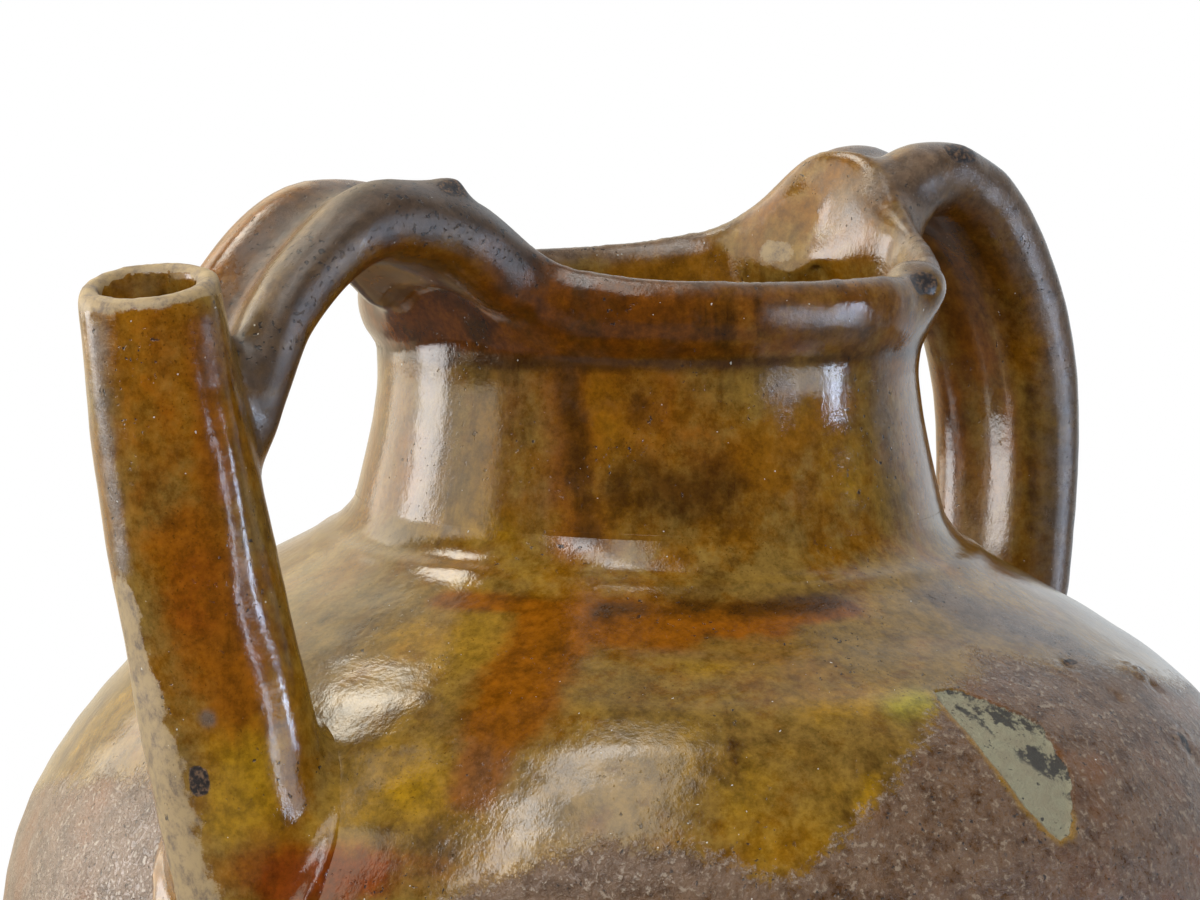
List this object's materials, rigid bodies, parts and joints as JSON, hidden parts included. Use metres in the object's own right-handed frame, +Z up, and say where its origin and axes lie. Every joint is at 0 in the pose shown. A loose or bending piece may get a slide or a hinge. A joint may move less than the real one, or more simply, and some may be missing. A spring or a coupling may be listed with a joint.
{
  "type": "terracotta pitcher",
  "caption": "Glazed terracotta water pitcher with a round belly, wide collared neck, tubular spout, bridging strap handle and rear strap handle.",
  "frame": {"origin": "centre of the flat foot that the pitcher stands on", "axes": "+Z up along the belly's and neck's axis, -X towards the spout, +X towards the rear handle"},
  "size_m": [0.3101, 0.29, 0.2921],
  "materials": {
    "bare_clay": "fired clay under a partly run lead glaze",
    "honey_glaze": "glossy honey-brown lead glaze",
    "dark_glaze": "glossy dark brown lead glaze, worn on the edges"
  },
  "bodies": {
    "root": {"belly": "bare_clay", "neck": "honey_glaze", "spout": "honey_glaze", "spout_handle": "dark_glaze", "rear_handle": "dark_glaze"}
  },
  "joints": []
}
